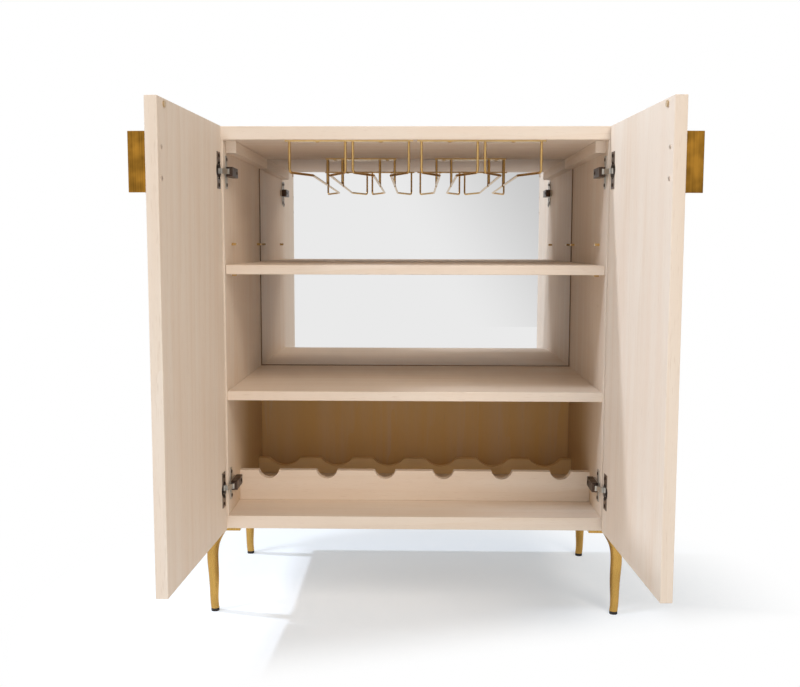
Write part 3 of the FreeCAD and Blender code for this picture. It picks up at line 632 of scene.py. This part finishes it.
def cross_head(shape, radius, height, place):
    """Add a crowned screw head with a cross recess, its seat at place's origin and its face to +z.

    It starts as a grid, whose inner lines move to the sides and ends of the cross, and whose outermost
    points move to the round rim.
    """
    lines = (SLOT_HALF_WIDTH, SLOT_REACH, 1.0)
    grid = bmesh.ops.create_grid(shape, x_segments=HEAD_SQUARES, y_segments=HEAD_SQUARES, size=1.0)["verts"]
    for vert in grid:
        x, y = (math.copysign(lines[int(abs(v) * HEAD_SQUARES / 2)], v) for v in vert.co[:2])
        if max(abs(x), abs(y)) > SLOT_REACH:
            x, y = Vector((x, y)).normalized()
        crown = 1.0 - CROWN_DROP * (x * x + y * y)
        vert.co = (x * radius, y * radius, height * crown)
    slots = []
    for face in dict.fromkeys(face for vert in grid for face in vert.link_faces):
        middle = face.calc_center_median() / radius
        nearer, further = sorted((abs(middle.x), abs(middle.y)))
        if nearer < SLOT_HALF_WIDTH / 2 and further < SLOT_REACH:
            slots.append(face)
    rim = dict.fromkeys(edge for vert in grid for edge in vert.link_edges if edge.is_boundary)
    skirt = new_points(bmesh.ops.extrude_edge_only(shape, edges=list(rim)))
    for vert in skirt:
        vert.co.z = 0.0
    sunk = new_points(bmesh.ops.extrude_face_region(shape, geom=slots))
    bmesh.ops.translate(shape, verts=sunk, vec=(0.0, 0.0, -SLOT_DEPTH * height))
    bmesh.ops.delete(shape, geom=slots, context="FACES_ONLY")
    bmesh.ops.transform(shape, matrix=place, verts=[*grid, *skirt, *sunk])


def screw_piece(node, name, material):
    """Replace the plain CAD screws of a node by screws with cross recessed heads."""
    plain = merged_copy(node)
    shape = bmesh.new()
    for group in islands(plain):
        points = np.array([vert.co for vert in group])
        middle = points.mean(axis=0)
        line = np.linalg.svd(points - middle)[2][0]
        along = (points - middle) @ line
        spread = np.linalg.norm(points - middle - np.outer(along, line), axis=1)
        if spread[along > 0].max() < spread[along < 0].max():
            line = -line
            along = -along
        head_radius = float(spread.max())
        shank_radius = float(spread[along < along.min() + TIP_SLICE].max())
        seat = float(along[spread > HEAD_RIM * head_radius].min())
        length = seat - float(along.min())
        axis = Vector(line)
        centre = Vector(middle)
        turn = axis.to_track_quat("Z", "Y").to_matrix().to_4x4()
        head = Matrix.Translation(centre + axis * seat) @ turn
        cross_head(shape, head_radius, float(along.max()) - seat, head)
        shank = Matrix.Translation(centre + axis * (seat - length / 2)) @ turn
        bmesh.ops.create_cone(shape, cap_ends=True, segments=SHANK_SIDES, radius1=shank_radius * TIP_TAPER,
                              radius2=shank_radius, depth=length, matrix=shank)
    plain.free()
    bmesh.ops.recalc_face_normals(shape, faces=shape.faces)
    replace_node(node, name, shape, material)


class ARMOIRE_OT_carcass(bpy.types.Operator):
    """Finish the boards of the cabinet body with eased edges and whitewashed oak"""

    bl_idname = "armoire.carcass"
    bl_label = "Carcass boards"

    def execute(self, context):
        look = context.scene.armoire_wood
        panel = corners_of("right_side_panel")
        half_width = float(panel[:, 0].min()) + MILLIMETRE
        ceiling = float(corners_of("middle_shelf")[:, 2].min())
        front = float(panel[:, 1].min())
        # The bottle bay, where painted shade darkens the side walls towards the back
        bay = (half_width, ceiling, front, front + look.bay_shade_depth)
        finishes = [
            (UPRIGHT_BOARDS, whitewashed_oak("limed_oak_side", ALONG_HEIGHT, bay=bay)),
            (LEVEL_BOARDS, whitewashed_oak("limed_oak_level", ALONG_WIDTH)),
            (CLEATS, whitewashed_oak("limed_oak_deep", ALONG_DEPTH)),
            (("back_panel",), whitewashed_oak("plain_oak_back", ALONG_HEIGHT, bare=look.back)),
            (("bottle_body_rail",), whitewashed_oak("plain_oak_rail", ALONG_WIDTH, bare=look.rail)),
        ]
        for group, material in finishes:
            for node in group:
                eased_piece(node, f"{node}_board", material,
                            look.board_ease, BOARD_EDGE)
        return {"FINISHED"}


class ARMOIRE_OT_doors(bpy.types.Operator):
    """Finish both doors with eased edges and upright grain"""

    bl_idname = "armoire.doors"
    bl_label = "Doors"

    def execute(self, context):
        ease = context.scene.armoire_wood.board_ease
        upright = whitewashed_oak("limed_oak_upright", ALONG_HEIGHT)
        for hand in HANDS:
            eased_piece(f"{hand}_door", f"{hand}_door_board", upright, ease, BOARD_EDGE)
        return {"FINISHED"}


class ARMOIRE_OT_mirror(bpy.types.Operator):
    """Silver the mirror behind the two upper bays"""

    bl_idname = "armoire.mirror"
    bl_label = "Mirror"

    def execute(self, context):
        corners = corners_of("mirror_panel")
        half_width = float(corners[:, 0].max())
        base = float(corners[:, 2].min())
        finish_node("mirror_panel", silvered_glass("silvered_float_glass", half_width, base))
        return {"FINISHED"}


class ARMOIRE_OT_legs(bpy.types.Operator):
    """Finish the four cast legs and their foot caps"""

    bl_idname = "armoire.legs"
    bl_label = "Legs"

    def execute(self, context):
        look = context.scene.armoire_fittings
        cast = brass("satin_cast_brass", look.leg, roughness=0.25, grain=ALONG_HEIGHT,
                     mottle=60 * MILLIMETRE, depth=0.78)
        for node in LEGS:
            finish_node(node, cast)
        finish_node("foot_caps", moulded_rubber("black_foot_rubber", look.foot, roughness=0.6))
        return {"FINISHED"}


class ARMOIRE_OT_racks(bpy.types.Operator):
    """Finish the bars and wire rails of the two stemware racks"""

    bl_idname = "armoire.racks"
    bl_label = "Stemware racks"

    def execute(self, context):
        for hand in HANDS:
            for part in ("bars", "outer_rails", "inner_rails"):
                finish_node(f"{hand}_rack_{part}", rack_brass())
        return {"FINISHED"}


class ARMOIRE_OT_hinges(bpy.types.Operator):
    """Finish the four concealed hinges with nickel and dark plating, and ease their arms"""

    bl_idname = "armoire.hinges"
    bl_label = "Hinges"

    def execute(self, context):
        look = context.scene.armoire_fittings
        nickel = plated_steel("satin_nickel_plate", look.nickel, roughness=0.42)
        cup = plated_steel("dull_nickel_plate", look.cup, roughness=0.4)
        for hand in HANDS:
            for level in ("upper", "lower"):
                hinge = f"{hand}_{level}_hinge"
                finish_node(f"{hinge}_plate", nickel)
                finish_node(f"{hinge}_link", nickel)
                finish_node(f"{hinge}_cup", cup)
                eased_piece(f"{hinge}_arm", f"{hinge}_covered_arm", dark_oxide(),
                            look.fitting_ease, ARM_EDGE)
        for node in HINGE_PINS:
            finish_node(node, dark_oxide())
        return {"FINISHED"}


class ARMOIRE_OT_pulls(bpy.types.Operator):
    """Finish the brass pulls and the bumpers of the doors"""

    bl_idname = "armoire.pulls"
    bl_label = "Pulls and bumpers"

    def execute(self, context):
        look = context.scene.armoire_fittings
        brushed = brass("brushed_brass", look.pull, roughness=0.36, grain=ALONG_HEIGHT,
                        mottle=28 * MILLIMETRE, depth=0.42, line=3.5)
        bumper = moulded_rubber("tan_bumper_rubber", look.bumper, roughness=0.35)
        for hand in HANDS:
            eased_piece(f"{hand}_door_pull", f"{hand}_pull_plate", brushed,
                        look.fitting_ease, PULL_EDGE)
            finish_node(f"{hand}_door_bumper", bumper)
        return {"FINISHED"}


class ARMOIRE_OT_fasteners(bpy.types.Operator):
    """Make the screws with cross recessed heads, and finish the dowels and shelf pins"""

    bl_idname = "armoire.fasteners"
    bl_label = "Screws, dowels and pins"

    def execute(self, context):
        zinc = plated_steel("zinc_plate", context.scene.armoire_fittings.screw, roughness=0.4, metallic=0.6)
        finishes = [
            (BRIGHT_SCREWS, zinc, "plated_steel"),
            (DARK_SCREWS, dark_oxide(), "plated_steel"),
            (("rack_screws",), rack_brass(), "brass"),
        ]
        for group, material, slot in finishes:
            for node in group:
                screw_piece(node, f"{node}_cross_head", material)
        finish_node("shelf_pins", rack_brass())
        bare = context.scene.armoire_wood.back
        finish_node("carcass_dowels", whitewashed_oak("plain_beech_dowel", ALONG_DEPTH, bare=bare))
        return {"FINISHED"}


class ARMOIRE_OT_stage(bpy.types.Operator):
    """Set up the pale floor, the soft studio light and the photograph's camera"""

    bl_idname = "armoire.stage"
    bl_label = "Floor, light and camera"

    def execute(self, context):
        scene = context.scene
        look = scene.armoire_stage
        scene.view_settings.view_transform = "Standard"
        self.floor(scene, look)
        self.room(scene, look)
        self.lamp(scene, "key_light", place=(-2.6, -1.15, 4.0), size=0.9,
                  power=look.key_power, tint=look.daylight)
        self.lamp(scene, "side_light", place=(-3.0, 0.65, 3.5), size=0.16,
                  power=look.side_power, tint=look.daylight)
        self.lamp(scene, "fill_light", place=(1.4, -2.9, 3.3), size=1.7,
                  power=look.fill_power, tint=look.lamplight, mirrored=False)
        self.lamp(scene, "front_light", place=(0.1, -2.9, 0.7), size=1.2,
                  power=look.front_power, tint=WHITE, mirrored=False)
        self.camera(scene)
        return {"FINISHED"}

    def floor(self, scene, look):
        """The pale floor, a single large square."""
        shape = bmesh.new()
        bmesh.ops.create_grid(shape, x_segments=1, y_segments=1, size=FLOOR_REACH)
        mesh = bpy.data.meshes.new("studio_floor")
        shape.to_mesh(mesh)
        shape.free()
        mesh.materials.append(self.floor_paint(look))
        floor = bpy.data.objects.new("studio_floor", mesh)
        scene.collection.objects.link(floor)

    def floor_paint(self, look):
        """Matt white floor that keeps the shadow near the cabinet, and further off glows plain white,
        painting the shadow out.

        The camera sees it a little cooler and lifted, so that the shadow is a neutral light grey.
        """
        material, tree, place = new_material("white_studio_floor")
        path, shown = self.shown_rays(tree)
        seen = path["Is Camera Ray"]
        tone = add(tree, "ShaderNodeMix", {
            MIX_SHARE: seen, MIX_COLOUR_A: look.floor, MIX_COLOUR_B: look.shadow_floor,
        }, data_type="RGBA").outputs[MIXED_COLOUR]
        paint = add(tree, "ShaderNodeBsdfDiffuse", {"Color": tone}).outputs[0]
        lift = add(tree, "ShaderNodeMath", {0: seen, 1: look.shadow_lift}, operation="MULTIPLY").outputs[0]
        glow = add(tree, "ShaderNodeEmission", {"Color": look.shadow_glow, "Strength": lift}).outputs[0]
        near = add(tree, "ShaderNodeAddShader", {0: paint, 1: glow}).outputs[0]
        distance = add(tree, "ShaderNodeVectorMath", {0: place, 1: SHADOW_MIDDLE}, operation="DISTANCE")
        far_share = add(tree, "ShaderNodeMapRange", {
            "Value": distance.outputs["Value"], "From Min": 0.37, "From Max": 0.82,
        }, interpolation_type="SMOOTHSTEP").outputs[0]
        forward = add(tree, "ShaderNodeVectorMath", {0: place, 1: SHADOW_FADE}, operation="DOT_PRODUCT")
        front_share = add(tree, "ShaderNodeMapRange", {
            "Value": forward.outputs["Value"], "From Min": 0.03, "From Max": 0.25,
        }, interpolation_type="SMOOTHSTEP").outputs[0]
        # Where these fades are full, the floor glows plain white, which paints out its shadow
        clear = add(tree, "ShaderNodeMath", {0: far_share, 1: front_share}, operation="MAXIMUM").outputs[0]
        clear_shown = add(tree, "ShaderNodeMath", {0: shown, 1: clear}, operation="MULTIPLY").outputs[0]
        white = add(tree, "ShaderNodeEmission", {"Color": WHITE, "Strength": 1.0}).outputs[0]
        both = add(tree, "ShaderNodeMixShader", {0: clear_shown, 1: near, 2: white}).outputs[0]
        add(tree, "ShaderNodeOutputMaterial", {"Surface": both})
        return material

    def room(self, scene, look):
        """Even room light, white where the camera, metal or glass sees it.

        Metal and the mirror also see a grey card at the right, a white gap past it, and a dark flag above.
        """
        world = bpy.data.worlds.new("white_room")
        scene.world = world
        world.use_nodes = True
        tree = world.node_tree
        tree.nodes.clear()
        path, shown = self.shown_rays(tree)
        direction = add(tree, "ShaderNodeTexCoord").outputs["Generated"]
        towards_card = add(tree, "ShaderNodeVectorMath", {0: direction, 1: CARD_DIRECTION},
                           operation="DOT_PRODUCT").outputs["Value"]
        card = add(tree, "ShaderNodeMapRange", {
            "Value": towards_card, "From Min": 0.0, "From Max": 0.2, "To Min": 1.0, "To Max": 0.66,
        }, interpolation_type="SMOOTHSTEP").outputs[0]
        gap = add(tree, "ShaderNodeMapRange", {
            "Value": towards_card, "From Min": 0.2, "From Max": 0.27, "To Max": 0.34,
        }, interpolation_type="SMOOTHSTEP").outputs[0]
        flag = add(tree, "ShaderNodeMapRange", {
            "Value": towards_card, "From Min": 0.45, "From Max": 0.8, "To Max": -0.7,
        }, interpolation_type="SMOOTHSTEP").outputs[0]
        card_and_gap = add(tree, "ShaderNodeMath", {0: card, 1: gap}, operation="ADD").outputs[0]
        mirrored = add(tree, "ShaderNodeMath", {0: card_and_gap, 1: flag}, operation="ADD").outputs[0]
        seen = add(tree, "ShaderNodeMix", {
            MIX_SHARE: path["Is Glossy Ray"], MIX_VALUE_A: 1.0, MIX_VALUE_B: mirrored,
        }, data_type="FLOAT").outputs[MIXED_VALUE]
        strength = add(tree, "ShaderNodeMix", {
            MIX_SHARE: shown, MIX_VALUE_A: look.sky, MIX_VALUE_B: seen,
        }, data_type="FLOAT").outputs[MIXED_VALUE]
        light = add(tree, "ShaderNodeBackground", {"Color": WHITE, "Strength": strength})
        add(tree, "ShaderNodeOutputWorld", {"Surface": light.outputs[0]})

    def shown_rays(self, tree):
        """Kinds of ray, and a value that is 1 for rays that show the room to the camera, metal or glass."""
        path = add(tree, "ShaderNodeLightPath").outputs
        seen = add(tree, "ShaderNodeMath", {
            0: path["Is Camera Ray"], 1: path["Is Glossy Ray"],
        }, operation="MAXIMUM").outputs[0]
        shown = add(tree, "ShaderNodeMath", {
            0: seen, 1: path["Is Transmission Ray"],
        }, operation="MAXIMUM").outputs[0]
        return path, shown

    def lamp(self, scene, name, place, size, power, tint, mirrored=True):
        """A square soft box that points at the middle of the cabinet, and that metal mirrors or not."""
        data = bpy.data.lights.new(name, "AREA")
        data.shape = "SQUARE"
        data.size = size
        data.energy = power
        data.color = tint[:3]
        light = bpy.data.objects.new(name, data)
        light.location = place
        light.rotation_euler = (Vector(LAMP_TARGET) - Vector(place)).to_track_quat("-Z", "Y").to_euler()
        light.visible_glossy = mirrored
        scene.collection.objects.link(light)

    def camera(self, scene):
        """The photograph's camera, from its place and its yaw, pitch and roll."""
        yaw, pitch, roll = CAMERA_YAW, CAMERA_PITCH, CAMERA_ROLL
        level = math.cos(pitch)
        forward = Vector((math.sin(yaw) * level, math.cos(yaw) * level, -math.sin(pitch)))
        level_right = Vector((math.cos(yaw), -math.sin(yaw), 0.0))
        level_up = level_right.cross(forward)
        right = level_right * math.cos(roll) + level_up * math.sin(roll)
        up = right.cross(forward)
        turn = Matrix((right, up, -forward)).transposed().to_4x4()
        data = bpy.data.cameras.new("photo_camera")
        data.sensor_fit = "HORIZONTAL"
        data.sensor_width = SENSOR_WIDTH
        data.lens = CAMERA_LENS
        camera = bpy.data.objects.new("photo_camera", data)
        camera.matrix_world = Matrix.Translation(CAMERA_PLACE) @ turn
        scene.collection.objects.link(camera)
        scene.camera = camera


SETTINGS = {"armoire_wood": ArmoireWood, "armoire_fittings": ArmoireFittings, "armoire_stage": ArmoireStage}

OPERATORS = (
    ARMOIRE_OT_carcass,
    ARMOIRE_OT_doors,
    ARMOIRE_OT_mirror,
    ARMOIRE_OT_legs,
    ARMOIRE_OT_racks,
    ARMOIRE_OT_hinges,
    ARMOIRE_OT_pulls,
    ARMOIRE_OT_fasteners,
    ARMOIRE_OT_stage,
)


class ARMOIRE_PT_sidebar(bpy.types.Panel):
    """Steps and settings of the bar armoire"""

    bl_idname = "ARMOIRE_PT_sidebar"
    bl_label = "Bar Armoire"
    bl_space_type = "VIEW_3D"
    bl_region_type = "UI"
    bl_category = "Bar Armoire"

    def draw(self, context):
        for operator in OPERATORS:
            self.layout.operator(operator.bl_idname)
        for group in SETTINGS:
            settings = getattr(context.scene, group)
            box = self.layout.box()
            for name in settings.__annotations__:
                box.prop(settings, name)


def register():
    for group in SETTINGS.values():
        bpy.utils.register_class(group)
    for operator in OPERATORS:
        bpy.utils.register_class(operator)
    bpy.utils.register_class(ARMOIRE_PT_sidebar)
    for name, group in SETTINGS.items():
        setattr(bpy.types.Scene, name, bpy.props.PointerProperty(type=group))


def unregister():
    for name in SETTINGS:
        delattr(bpy.types.Scene, name)
    bpy.utils.unregister_class(ARMOIRE_PT_sidebar)
    for operator in reversed(OPERATORS):
        bpy.utils.unregister_class(operator)
    for group in reversed(SETTINGS.values()):
        bpy.utils.unregister_class(group)


def main():
    register()
    bpy.ops.armoire.carcass()
    bpy.ops.armoire.doors()
    bpy.ops.armoire.mirror()
    bpy.ops.armoire.legs()
    bpy.ops.armoire.racks()
    bpy.ops.armoire.hinges()
    bpy.ops.armoire.pulls()
    bpy.ops.armoire.fasteners()
    bpy.ops.armoire.stage()


if __name__ == "__main__":
    main()
